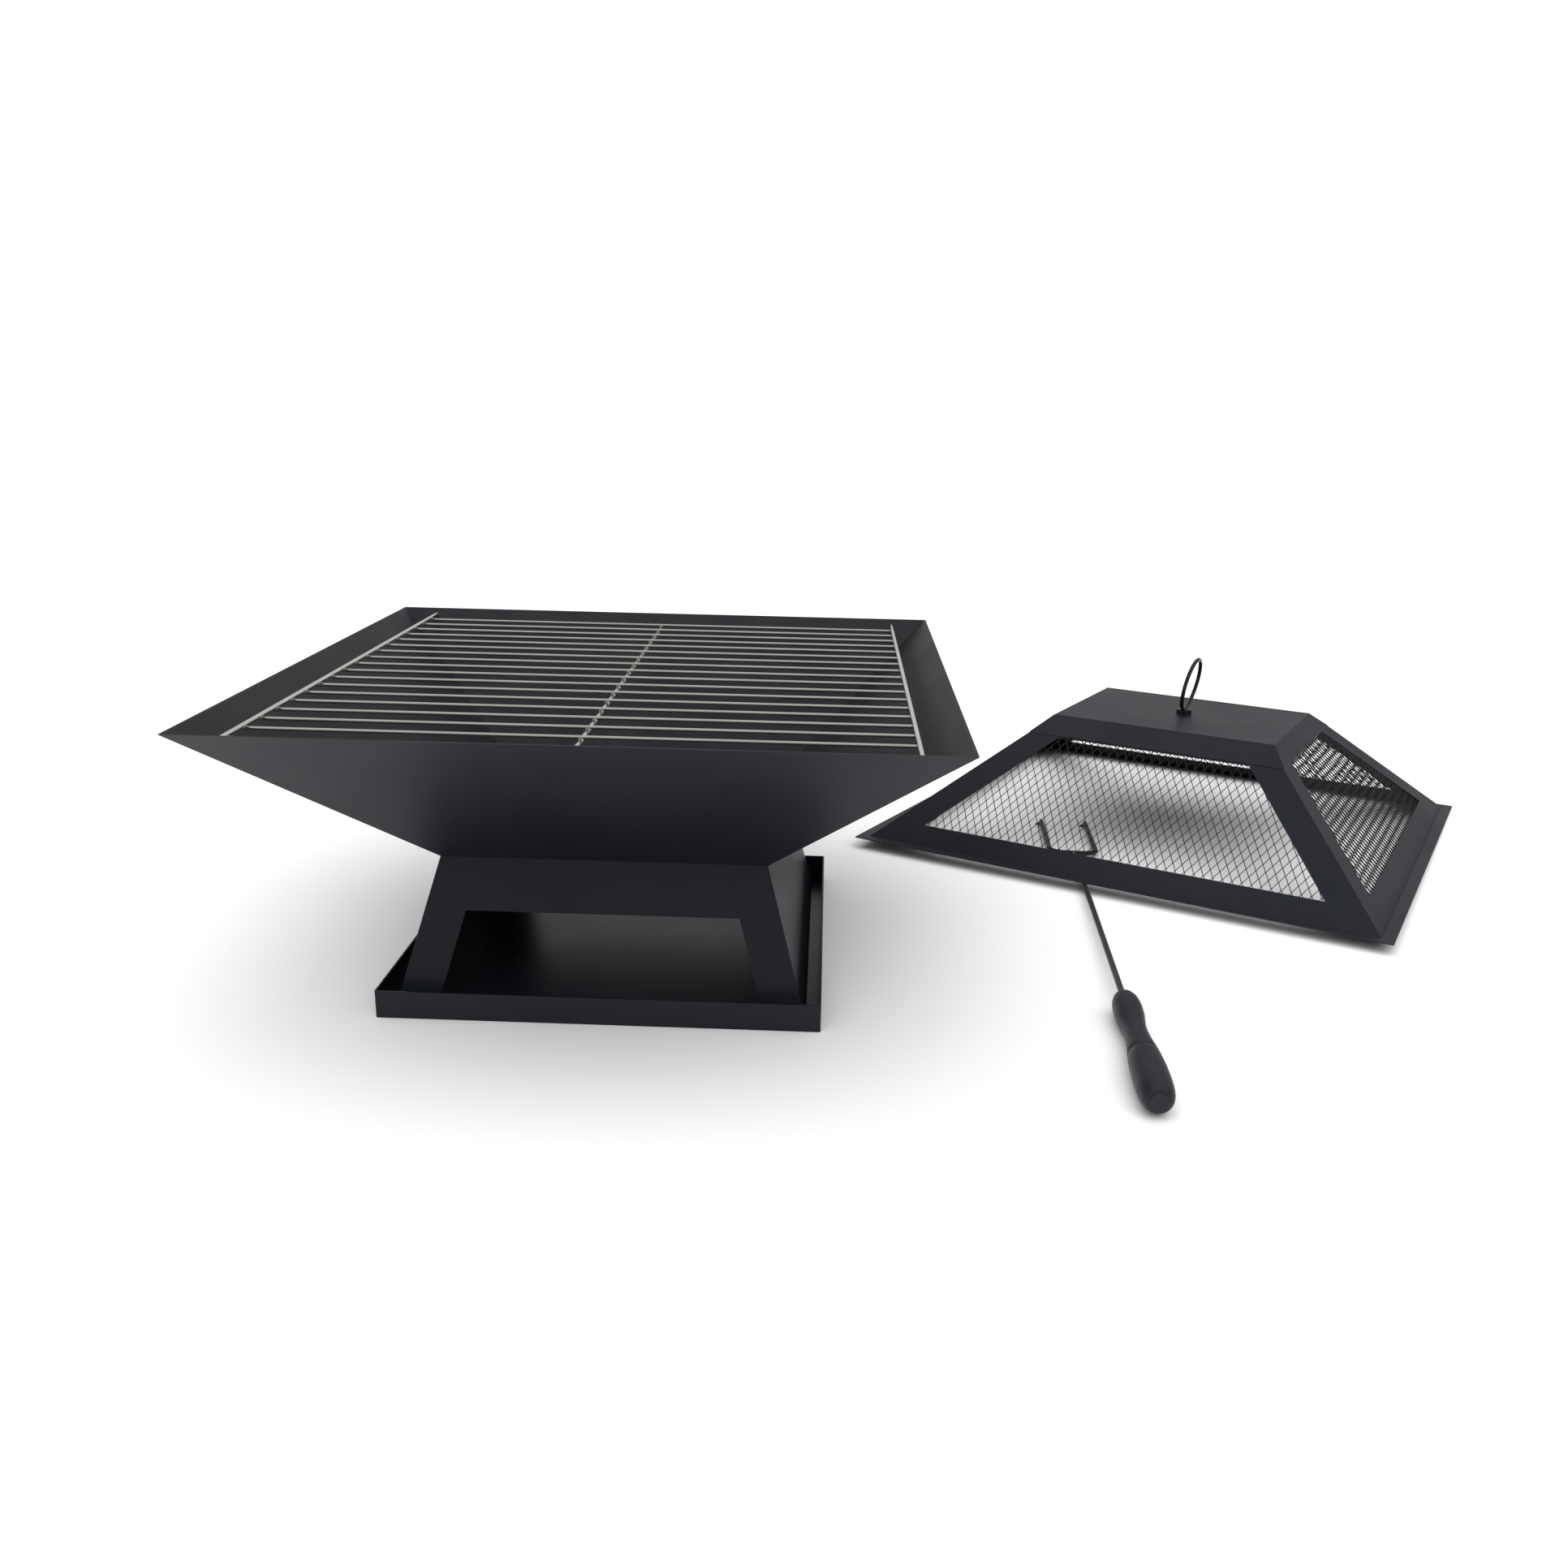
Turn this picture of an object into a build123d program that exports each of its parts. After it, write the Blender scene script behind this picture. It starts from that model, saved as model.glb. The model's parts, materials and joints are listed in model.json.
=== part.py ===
from build123d import *
from math import asin, atan2, cos, degrees, hypot, radians, sin
import os

os.makedirs("parts", exist_ok=True)

# Square steel fire pit with a wire cooking grate, its ash tray, its spark lid and
# its poker, laid out ready for use. Millimetres, +Z up. The origin is the centre of
# the tray's underside, on the floor; +Y points away from the front of the pit.

# ---- overall sizes -------------------------------------------------------------
rim_width = 460.0          # square mouth of the bowl, outside
rim_height = 211.5         # top edge of the bowl above the floor
seam_height = 100.8        # where the bowl's floor sits on the stand
stand_top_width = 218.5    # square top of the stand, same as the bowl's floor
stand_foot_width = 274.0   # square foot of the stand
tray_margin = 10.0         # from the stand's foot to the outside of the tray's rim
tray_height = 19.0

# ---- fits ----------------------------------------------------------------------
lift_gap = 0.35            # between loose parts that only rest on one another
screw_clearance = 0.2      # round a screw in its hole
poker_gap = 0.9            # over the poker, under the raised edge of the lid
floor_gap = 0.2            # under the sloping grip, so no point of it is below the floor

# ---- sheet thicknesses ---------------------------------------------------------
tray_sheet = 1.2
stand_sheet = 1.2
bowl_sheet = 1.2
cap_sheet = 1.0

# ---- stand ---------------------------------------------------------------------
leg_width = 27.5           # sideways width of each leg beside the opening
opening_height = 66.5      # top of the front and back openings above the floor
deck_width = 24.0          # inward ledge that carries the bowl

# ---- bowl fasteners ------------------------------------------------------------
screw_diameter = 6.0
screw_head_diameter = 12.0
screw_head_height = 3.0
screw_inset = 12.0         # from the edge of the stand's top
washer_diameter = 12.5
washer_thickness = 1.2
nut_width = 10.0           # across flats
nut_height = 5.0
screw_tail = 2.0           # thread standing out of the nut

# ---- grate ---------------------------------------------------------------------
side_rod_diameter = 3.0
centre_rod_diameter = 4.0
bar_diameter = 2.4
side_rod_margin = 30.5     # from the rim's edge to the centre of each side rod
side_rod_drop = 4.3        # centre of the side rods below the rim
bar_count = 18
end_bar_gap = 7.2          # from the bowl's wall, level with the lowest wire, to the end bars

# ---- lid -----------------------------------------------------------------------
lid_inset = 0.5            # the flange's edge inside the rim's edge, lid in place
lid_flange = 9.0
lid_sheet = 1.0
lid_wall = 1.5             # the sloping sheet measured level
lid_rise = 93.5            # from the flange's underside to the foot of the cap
frame_strip = 24.0         # steel left round each mesh window
frame_top_strip = 1.0      # steel left between the window and the cap
cap_width = 230.0
cap_depth = 213.0
cap_top_width = 200.5
cap_top_depth = 162.5
cap_rise = 14.3
cap_step = 0.8             # how far the cap stands proud of the panels
mesh_thickness = 0.4
mesh_lap = 7.0             # mesh held behind the frame round each window
lid_centre = (486.4, 321.4)
lid_turn = -28.5           # degrees about the vertical

# ---- lid ring ------------------------------------------------------------------
ring_outer_diameter = 52.0
ring_wire = 3.6
ring_lean = 9.0            # degrees
boss_diameter = 14.0
boss_height = 4.5
boss_saddle = 1.2          # depth the ring sinks into the boss

# ---- poker ---------------------------------------------------------------------
poker_wire = 4.5
grip_radius = 11.3         # widest point of the grip, which rests on the floor
grip_length = 146.0
grip_butt = 31.0           # from the widest point to the butt end
grip_neck = 62.0           # from the widest point to the narrowest
grip_neck_radius = 7.6
grip_shoulder = 94.0       # from the widest point to the swelling by the rod
grip_shoulder_radius = 9.8
grip_nose_radius = 4.5
tang_length = 60.0         # rod inside the grip
poker_reach = 536.0        # from the grip's widest point to the tine tips
tine_length = 103.0
tine_spacing = 42.0
tine_bend = 12.0
barb_length = 9.0
barb_width = 4.0
tine_point = 8.0
butt_cap_radius = 6.0
butt_cap_depth = 4.0
butt_cap_proud = 0.8
poker_place = (346.0, -214.0)   # floor point under the grip's widest point
poker_turn = 3.6           # degrees, towards +X from straight back


def square(half):
    """A centred square of this half width."""
    Rectangle(2 * half, 2 * half)


def keep(builder, name):
    """Label a finished piece and write it out."""
    builder.part.label = name
    export_step(builder.part, f"parts/{name}.step")


# ================================ ash tray ======================================
tray_width = stand_foot_width + 2 * tray_margin
with BuildPart() as tray:
    with BuildSketch(Plane.XY):
        square(tray_width / 2)
    extrude(amount=tray_height)
    with BuildSketch(Plane.XY.offset(tray_sheet)):
        square(tray_width / 2 - tray_sheet)
    extrude(amount=tray_height, mode=Mode.SUBTRACT)
    # folded corners of the sheet
    corner_edges = tray.edges().filter_by(Axis.Z).sort_by(lambda e: e.center().X ** 2)[-4:]
    fillet(corner_edges, radius=tray_sheet)
keep(tray, "tray")

# ================================== stand =======================================
stand_bottom = tray_sheet + lift_gap
stand_rise = seam_height - stand_bottom
stand_lean = (stand_foot_width - stand_top_width) / 2 / stand_rise
stand_wall = stand_sheet * hypot(1, stand_lean)   # the sloping sheet measured level


def stand_half(height):
    """Outside half width of the stand at a height above the floor."""
    return stand_top_width / 2 + (seam_height - height) * stand_lean


deck_underside = seam_height - stand_sheet
screw_offset = stand_top_width / 2 - screw_inset
screw_hole_radius = screw_diameter / 2 + screw_clearance

with BuildPart() as stand:
    for height in (stand_bottom, seam_height):
        with BuildSketch(Plane.XY.offset(height)):
            square(stand_half(height))
    loft()
    for height in (stand_bottom, deck_underside):
        with BuildSketch(Plane.XY.offset(height)):
            square(stand_half(height) - stand_wall)
    loft(mode=Mode.SUBTRACT)
    # the ledge under the bowl is open in the middle
    with BuildSketch(Plane.XY.offset(deck_underside)):
        square(stand_top_width / 2 - deck_width)
    extrude(amount=stand_sheet, mode=Mode.SUBTRACT)
    # tapered openings through the front and the back, open at the foot
    with BuildSketch(Plane.XZ):
        foot_half = stand_half(stand_bottom) - leg_width
        head_half = stand_half(opening_height) - leg_width
        Polygon(
            (-foot_half, stand_bottom),
            (foot_half, stand_bottom),
            (head_half, opening_height),
            (-head_half, opening_height),
            align=None,
        )
    extrude(amount=stand_foot_width, both=True, mode=Mode.SUBTRACT)
    with Locations((0, 0, seam_height)):
        with GridLocations(2 * screw_offset, 2 * screw_offset, 2, 2):
            Hole(radius=screw_hole_radius, depth=stand_sheet)
keep(stand, "stand")

# =================================== bowl =======================================
bowl_rise = rim_height - seam_height
bowl_flare = (rim_width - stand_top_width) / 2 / bowl_rise
bowl_wall = bowl_sheet * hypot(1, bowl_flare)     # the sloping sheet measured level


def bowl_half(height):
    """Outside half width of the bowl at a height above the floor."""
    return rim_width / 2 - (rim_height - height) * bowl_flare


bowl_floor_top = seam_height + bowl_sheet

# four sheet walls, welded to one another along mitred corners and to the floor
for side, angle in (("front", 0), ("right", 90), ("back", 180), ("left", 270)):
    turned = Plane(Plane.XY.rotated((0, 0, angle)).location)
    with BuildPart() as bowl_side:
        for height in (seam_height, rim_height):
            with BuildSketch(turned.offset(height)):
                outer = bowl_half(height)
                inner = outer - bowl_wall
                Polygon((-outer, -outer), (outer, -outer), (inner, -inner), (-inner, -inner), align=None)
        loft()
    keep(bowl_side, f"bowl_wall_{side}")

with BuildPart() as bowl_floor:
    for height in (seam_height, bowl_floor_top):
        with BuildSketch(Plane.XY.offset(height)):
            square(bowl_half(height) - bowl_wall)
    loft()
    with Locations((0, 0, bowl_floor_top)):
        with GridLocations(2 * screw_offset, 2 * screw_offset, 2, 2):
            Hole(radius=screw_hole_radius, depth=bowl_sheet)
keep(bowl_floor, "bowl_floor")

# ============================== bowl fasteners ==================================
washer_top = deck_underside
nut_top = washer_top - washer_thickness
screw_end = nut_top - nut_height - screw_tail
screw_grid = (2 * screw_offset, 2 * screw_offset, 2, 2)

with BuildPart() as bowl_screws:
    with BuildSketch(Plane.XY.offset(bowl_floor_top)):
        with GridLocations(*screw_grid):
            Circle(screw_head_diameter / 2)
    extrude(amount=screw_head_height)
    head_rims = bowl_screws.edges().group_by(Axis.Z)[-1]
    chamfer(head_rims, length=screw_head_height / 3)
    with BuildSketch(Plane.XY.offset(bowl_floor_top)):
        with GridLocations(*screw_grid):
            Circle(screw_diameter / 2)
    extrude(amount=screw_end - bowl_floor_top)
keep(bowl_screws, "bowl_screws")

with BuildPart() as bowl_washers:
    with BuildSketch(Plane.XY.offset(washer_top)):
        with GridLocations(*screw_grid):
            Circle(washer_diameter / 2)
            Circle(screw_hole_radius, mode=Mode.SUBTRACT)
    extrude(amount=-washer_thickness)
keep(bowl_washers, "bowl_washers")

with BuildPart() as bowl_nuts:
    with BuildSketch(Plane.XY.offset(nut_top)):
        with GridLocations(*screw_grid):
            RegularPolygon(radius=nut_width / 2, side_count=6, major_radius=False)
            Circle(screw_diameter / 2, mode=Mode.SUBTRACT)
    extrude(amount=-nut_height)
keep(bowl_nuts, "bowl_nuts")

# =================================== grate ======================================
# The side rods run front to back and rest on the sloping walls just under the rim.
side_rod_height = rim_height - side_rod_drop
side_rod_spacing = rim_width - 2 * side_rod_margin
rod_underside = side_rod_height - side_rod_diameter / 2
rod_reach = bowl_half(rod_underside) - bowl_wall - lift_gap * hypot(1, bowl_flare)
bar_height = rod_underside - bar_diameter / 2
centre_rod_height = bar_height - bar_diameter / 2 - centre_rod_diameter / 2
bar_reach = side_rod_spacing / 2 + side_rod_diameter / 2
lowest_wire = centre_rod_height - centre_rod_diameter / 2
bar_span = 2 * (bowl_half(lowest_wire) - bowl_wall - end_bar_gap)
bar_pitch = bar_span / (bar_count - 1)

for name, across in (("grate_rod_left", -side_rod_spacing / 2), ("grate_rod_right", side_rod_spacing / 2)):
    with BuildPart() as side_rod:
        with BuildSketch(Plane.XZ):
            with Locations((across, side_rod_height)):
                Circle(side_rod_diameter / 2)
        extrude(amount=rod_reach, both=True)
        chamfer(side_rod.edges(), length=side_rod_diameter / 10)
    keep(side_rod, name)

with BuildPart() as grate_rod_centre:
    with BuildSketch(Plane.XZ):
        with Locations((0, centre_rod_height)):
            Circle(centre_rod_diameter / 2)
    extrude(amount=bar_span / 2 + bar_diameter, both=True)
keep(grate_rod_centre, "grate_rod_centre")

with BuildPart() as grate_bars:
    with BuildSketch(Plane.YZ):
        with Locations((0, bar_height)):
            with GridLocations(bar_pitch, 0, bar_count, 1):
                Circle(bar_diameter / 2)
    extrude(amount=bar_reach, both=True)
keep(grate_bars, "grate_bars")

# =================================== poker ======================================
# The poker lies on its grip and its tine tips, so its rod slopes down to the fork.
poker_dip = asin((grip_radius - poker_wire / 2) / poker_reach)
poker_run = (sin(radians(poker_turn)), cos(radians(poker_turn)))
poker = Plane(
    origin=(*poker_place, grip_radius + floor_gap),
    x_dir=(poker_run[1], -poker_run[0], 0),
    z_dir=(poker_run[0] * cos(poker_dip), poker_run[1] * cos(poker_dip), -sin(poker_dip)),
)


def on_poker(local):
    """Carry a plane given in the poker's own frame to where the poker lies.

    Its Z runs along the rod from the grip's widest point towards the fork.
    """
    return Plane(poker.location * local.location)


grip_front = grip_length - grip_butt
poker_axis = Axis(poker.origin, poker.z_dir)
fork_base = poker_reach - tine_length

with BuildPart() as poker_grip:
    with BuildSketch(on_poker(Plane.XZ)):
        with BuildLine():
            grip_tail = Bezier(
                (butt_cap_radius + 1, -grip_butt),
                (grip_radius, -grip_butt * 0.9),
                (grip_radius, -grip_butt * 0.4),
                (grip_radius, 0),
            )
            Bezier(
                (grip_radius, 0),
                (grip_radius, grip_neck * 0.5),
                (grip_neck_radius, grip_neck * 0.65),
                (grip_neck_radius, grip_neck),
            )
            Bezier(
                (grip_neck_radius, grip_neck),
                (grip_neck_radius, (grip_neck + grip_shoulder) / 2),
                (grip_shoulder_radius, (grip_neck + grip_shoulder) / 2),
                (grip_shoulder_radius, grip_shoulder),
            )
            grip_nose = Bezier(
                (grip_shoulder_radius, grip_shoulder),
                (grip_shoulder_radius, (grip_shoulder + grip_front) / 2),
                (grip_shoulder_radius, grip_front),
                (grip_nose_radius, grip_front),
            )
            Polyline(
                grip_nose @ 1,
                (0, grip_front),
                (0, -grip_butt),
                grip_tail @ 0,
            )
        make_face()
    revolve(axis=poker_axis)
    # hole for the rod, and the recess for the butt cap
    with BuildSketch(on_poker(Plane.XY.offset(grip_front))):
        Circle(poker_wire / 2)
    extrude(amount=-tang_length, mode=Mode.SUBTRACT)
    with BuildSketch(on_poker(Plane.XY.offset(-grip_butt))):
        Circle(butt_cap_radius)
    extrude(amount=butt_cap_depth, mode=Mode.SUBTRACT)
keep(poker_grip, "poker_grip")

with BuildPart() as poker_butt_cap:
    with BuildSketch(on_poker(Plane.XY.offset(-grip_butt + butt_cap_depth))):
        Circle(butt_cap_radius)
    extrude(amount=-butt_cap_depth - butt_cap_proud)
    cap_edges = poker_butt_cap.edges().sort_by(poker_axis)[0]
    fillet(cap_edges, radius=butt_cap_proud)
keep(poker_butt_cap, "poker_butt_cap")

with BuildPart() as poker_rod:
    with BuildSketch(on_poker(Plane.XY.offset(grip_front - tang_length))):
        Circle(poker_wire / 2)
    extrude(amount=fork_base - poker_wire / 4 - grip_front + tang_length)
    # saddle where the rod is welded round the back of the fork
    with BuildSketch(on_poker(Plane.YZ)):
        with Locations((0, fork_base)):
            Circle(poker_wire / 2)
    extrude(amount=poker_wire, both=True, mode=Mode.SUBTRACT)
keep(poker_rod, "poker_rod")

with BuildPart() as poker_fork:
    tine_end = poker_reach - tine_point
    with BuildLine(on_poker(Plane.XZ)) as fork_bend:
        FilletPolyline(
            (-tine_spacing / 2, tine_end),
            (-tine_spacing / 2, fork_base),
            (tine_spacing / 2, fork_base),
            (tine_spacing / 2, tine_end),
            radius=tine_bend,
        )
    with BuildSketch(Plane(origin=fork_bend.line @ 0, z_dir=fork_bend.line % 0)):
        Circle(poker_wire / 2)
    sweep()
    for side in (-1, 1):
        across = side * tine_spacing / 2
        # pointed tip
        for along, radius in ((tine_end, poker_wire / 2), (poker_reach, poker_wire / 8)):
            with BuildSketch(on_poker(Plane.XY.offset(along))):
                with Locations((across, 0)):
                    Circle(radius)
        loft()
        # barb on the left of each tine
        with BuildSketch(on_poker(Plane.XZ)):
            Polygon(
                (across, tine_end),
                (across - poker_wire / 2 - barb_width, tine_end - barb_length),
                (across, tine_end - barb_length - barb_width / 2),
                align=None,
            )
        extrude(amount=poker_wire / 6, both=True)
keep(poker_fork, "poker_fork")

# ==================================== lid =======================================
# The lid stands on the floor with its front edge raised over the poker's rod.
lid_width = rim_width - 2 * lid_inset
turn = radians(lid_turn)
poker_offset = (poker_place[0] - lid_centre[0], poker_place[1] - lid_centre[1])
# how far along the poker its rod passes under the lid's front edge
short_of_centre = poker_offset[0] * -sin(turn) + poker_offset[1] * cos(turn)
run_towards_lid = poker_run[0] * -sin(turn) + poker_run[1] * cos(turn)
poker_crossing = (-lid_width / 2 - short_of_centre) / run_towards_lid
rod_top = grip_radius + floor_gap + poker_wire / 2 - poker_crossing * sin(poker_dip)
lid_tilt = asin((rod_top + poker_gap) / lid_width)
lid = Plane(
    origin=(*lid_centre, lid_width / 2 * sin(lid_tilt)),
    x_dir=(cos(turn), sin(turn), 0),
    z_dir=(-sin(turn) * sin(lid_tilt), cos(turn) * sin(lid_tilt), cos(lid_tilt)),
)


def on_lid(local):
    """Carry a plane given in the lid's own frame to where the lid lies."""
    return Plane(lid.location * local.location)


fold_half = lid_width / 2 - lid_flange
panel_top_half = {"wide": cap_width / 2 - cap_step, "deep": cap_depth / 2 - cap_step}

# each side: its name, its turn, the half length of its top edge, and how far that
# top edge is from the middle of the lid
lid_sides = (
    ("front", 0, "wide", "deep"),
    ("right", 90, "deep", "wide"),
    ("back", 180, "wide", "deep"),
    ("left", 270, "deep", "wide"),
)

for side, angle, along, away in lid_sides:
    top_half = panel_top_half[along]
    top_away = panel_top_half[away]
    run = fold_half - top_away
    slope = atan2(lid_rise, run)
    panel_height = hypot(lid_rise, run)
    panel_sheet = lid_wall * sin(slope)
    upright = Plane.XY.rotated((0, 0, angle))
    turned = Plane(upright.location)
    # the outside face of the sloping panel, origin in the middle of its foot
    face = Plane(
        turned.location * Plane(
            origin=(0, -fold_half, 0), x_dir=(1, 0, 0), z_dir=(0, -sin(slope), cos(slope))
        ).location
    )

    def window(margin, top_margin):
        """Corners of a trapezium inside the panel, this far in from its edges."""
        hip = atan2(panel_height, fold_half - top_half)
        inset = margin / sin(hip)
        foot, head = margin, panel_height - top_margin
        half_at = lambda up: fold_half - (fold_half - top_half) * up / panel_height - inset
        return (
            (-half_at(foot), foot), (half_at(foot), foot),
            (half_at(head), head), (-half_at(head), head),
        )

    with BuildPart() as frame:
        with BuildSketch(on_lid(turned)):
            outer, inner = lid_width / 2, fold_half - lid_wall / 2
            Polygon((-outer, -outer), (outer, -outer), (inner, -inner), (-inner, -inner), align=None)
        extrude(amount=lid_sheet)
        with BuildSketch(on_lid(turned)):
            outer, inner = fold_half, fold_half - lid_wall
            Polygon((-outer, -outer), (outer, -outer), (inner, -inner), (-inner, -inner), align=None)
        with BuildSketch(on_lid(turned.offset(lid_rise))):
            Polygon(
                (-top_half, -top_away),
                (top_half, -top_away),
                (top_half - lid_wall, -top_away + lid_wall),
                (-top_half + lid_wall, -top_away + lid_wall),
                align=None,
            )
        loft()
        with BuildSketch(on_lid(face)):
            Polygon(*window(frame_strip, frame_top_strip), align=None)
        extrude(amount=lid_wall, both=True, mode=Mode.SUBTRACT)
    keep(frame, f"lid_frame_{side}")

    with BuildPart() as mesh:
        with BuildSketch(on_lid(face.offset(-panel_sheet))):
            Polygon(*window(frame_strip - mesh_lap, frame_top_strip / 2), align=None)
        extrude(amount=-mesh_thickness)
    keep(mesh, f"lid_mesh_{side}")

cap_top = lid_rise + cap_rise
with BuildPart() as lid_cap:
    with BuildSketch(on_lid(Plane.XY.offset(lid_rise))):
        Rectangle(cap_width, cap_depth)
    with BuildSketch(on_lid(Plane.XY.offset(cap_top))):
        Rectangle(cap_top_width, cap_top_depth)
    loft()
    cap_wall = 2 * (cap_step + lid_wall / 2)
    with BuildSketch(on_lid(Plane.XY.offset(lid_rise))):
        Rectangle(cap_width - cap_wall, cap_depth - cap_wall)
    with BuildSketch(on_lid(Plane.XY.offset(cap_top - cap_sheet))):
        Rectangle(cap_top_width - cap_wall, cap_top_depth - cap_wall)
    loft(mode=Mode.SUBTRACT)
    with BuildSketch(on_lid(Plane.XY.offset(cap_top))):
        Circle(screw_hole_radius)
    extrude(amount=-cap_sheet * 2, mode=Mode.SUBTRACT)
keep(lid_cap, "lid_cap")

# ring handle, its boss with a threaded stud, and the nut under the cap
lean = radians(ring_lean)
ring_radius = (ring_outer_diameter - ring_wire) / 2
boss_top = cap_top + boss_height
ring_rise = ring_outer_diameter / 2 - boss_saddle
ring_centre = (ring_rise * sin(lean), 0, boss_top + ring_rise * cos(lean))
ring_plane = on_lid(Plane(origin=ring_centre, x_dir=(0, 1, 0), z_dir=(cos(lean), 0, -sin(lean))))
stud_end = cap_top - cap_sheet - washer_thickness - nut_height - screw_tail

with BuildPart() as lid_ring:
    with Locations(ring_plane):
        Torus(ring_radius, ring_wire / 2)
keep(lid_ring, "lid_ring")

with BuildPart() as lid_ring_boss:
    with BuildSketch(on_lid(Plane.XY.offset(cap_top))):
        Circle(boss_diameter / 2)
    extrude(amount=boss_height)
    with BuildSketch(on_lid(Plane.XY.offset(cap_top))):
        Circle(screw_diameter / 2)
    extrude(amount=stud_end - cap_top)
    with Locations(ring_plane):
        Torus(ring_radius, ring_wire / 2, mode=Mode.SUBTRACT)
keep(lid_ring_boss, "lid_ring_boss")

with BuildPart() as lid_ring_washer:
    with BuildSketch(on_lid(Plane.XY.offset(cap_top - cap_sheet))):
        Circle(washer_diameter / 2)
        Circle(screw_hole_radius, mode=Mode.SUBTRACT)
    extrude(amount=-washer_thickness)
keep(lid_ring_washer, "lid_ring_washer")

with BuildPart() as lid_ring_nut:
    with BuildSketch(on_lid(Plane.XY.offset(cap_top - cap_sheet - washer_thickness))):
        RegularPolygon(radius=nut_width / 2, side_count=6, major_radius=False)
        Circle(screw_diameter / 2, mode=Mode.SUBTRACT)
    extrude(amount=-nut_height)
keep(lid_ring_nut, "lid_ring_nut")
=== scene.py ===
"""Looks of a square steel fire pit with its grate, ash tray, spark lid and poker.

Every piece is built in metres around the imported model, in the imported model's frame.
"""

import json
import logging
import math
from dataclasses import dataclass
from enum import Enum
from typing import Callable, Sequence

import bpy
import bmesh
from mathutils import Matrix, Vector

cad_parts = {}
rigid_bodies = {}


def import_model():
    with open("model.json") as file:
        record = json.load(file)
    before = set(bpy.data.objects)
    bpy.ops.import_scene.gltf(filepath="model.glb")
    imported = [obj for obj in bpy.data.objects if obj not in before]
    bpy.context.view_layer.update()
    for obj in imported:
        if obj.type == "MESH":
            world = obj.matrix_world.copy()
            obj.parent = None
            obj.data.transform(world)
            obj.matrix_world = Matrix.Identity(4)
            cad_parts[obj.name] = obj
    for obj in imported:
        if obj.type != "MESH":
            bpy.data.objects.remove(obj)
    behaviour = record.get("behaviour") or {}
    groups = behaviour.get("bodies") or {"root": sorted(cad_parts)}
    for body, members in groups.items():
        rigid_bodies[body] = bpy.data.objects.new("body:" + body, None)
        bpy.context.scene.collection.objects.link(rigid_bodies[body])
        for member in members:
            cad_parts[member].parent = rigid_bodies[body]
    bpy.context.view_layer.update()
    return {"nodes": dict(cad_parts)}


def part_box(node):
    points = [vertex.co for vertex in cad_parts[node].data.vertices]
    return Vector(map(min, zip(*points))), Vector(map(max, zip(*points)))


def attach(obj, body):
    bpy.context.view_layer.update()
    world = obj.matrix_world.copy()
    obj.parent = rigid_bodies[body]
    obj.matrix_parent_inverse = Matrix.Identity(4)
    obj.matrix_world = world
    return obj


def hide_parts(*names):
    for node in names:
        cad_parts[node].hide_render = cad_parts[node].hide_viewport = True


log = logging.getLogger("fire_pit")
MM = 0.001
MERGE_GAP = 0.02 * MM
FLAT_ANGLE = math.radians(0.6)
FOLD_ANGLE = math.radians(28)
LEVEL_SLACK = 0.1 * MM
Colour = tuple[float, float, float]


class Body(Enum):
    """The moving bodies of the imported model."""

    TRAY = "tray"
    PIT = "pit"
    GRATE = "grate"
    LID = "lid"
    POKER = "poker"


class Slot(Enum):
    """The record's material slots."""

    POWDER_COAT = "powder_coat"
    SPARK_MESH = "spark_mesh"
    GRATE_WIRE = "grate_wire"
    ZINC_STEEL = "zinc_steel"
    BLACK_STEEL = "black_steel"
    GRIP_PLASTIC = "grip_plastic"


# ------------------------------------------------------------------ shared shader groups
class EffectGroup:
    """A shader node group with named inputs and outputs."""

    def __init__(self, name: str, inputs: dict[str, float], outputs: Sequence[str]) -> None:
        """Make an empty group.

        Args:
            name: Name of the group.
            inputs: Name and default of each number that the group takes.
            outputs: Names of the values that it gives.
        """
        self.tree = bpy.data.node_groups.new(name, "ShaderNodeTree")
        for label, value in inputs.items():
            socket = self.tree.interface.new_socket(label, in_out="INPUT", socket_type="NodeSocketFloat")
            socket.default_value = value
        for label in outputs:
            self.tree.interface.new_socket(label, in_out="OUTPUT", socket_type="NodeSocketFloat")
        self.given = self.tree.nodes.new("NodeGroupInput")
        self.result = self.tree.nodes.new("NodeGroupOutput")

    def node(self, kind: str, **settings: object) -> bpy.types.Node:
        """Add a node and set its properties.

        Args:
            kind: Type of the node, without its "ShaderNode" prefix.
            **settings: Properties of the node.

        Returns:
            The new node.
        """
        made = self.tree.nodes.new("ShaderNode" + kind)
        for label, value in settings.items():
            setattr(made, label, value)
        return made

    def link(self, source: bpy.types.NodeSocket, target: bpy.types.NodeSocket) -> None:
        """Join two sockets."""
        self.tree.links.new(source, target)

    def ramp(self, low: float, high: float, least: float, most: float, **settings: object) -> bpy.types.Node:
        """Add a map from one range of values to another.

        Args:
            low: Value that gives the least result.
            high: Value that gives the most.
            least: The least result.
            most: The most.
            **settings: Properties of the node.

        Returns:
            The new node.
        """
        made = self.node("MapRange", **settings)
        for label, value in (("From Min", low), ("From Max", high), ("To Min", least), ("To Max", most)):
            made.inputs[label].default_value = value
        return made


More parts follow.
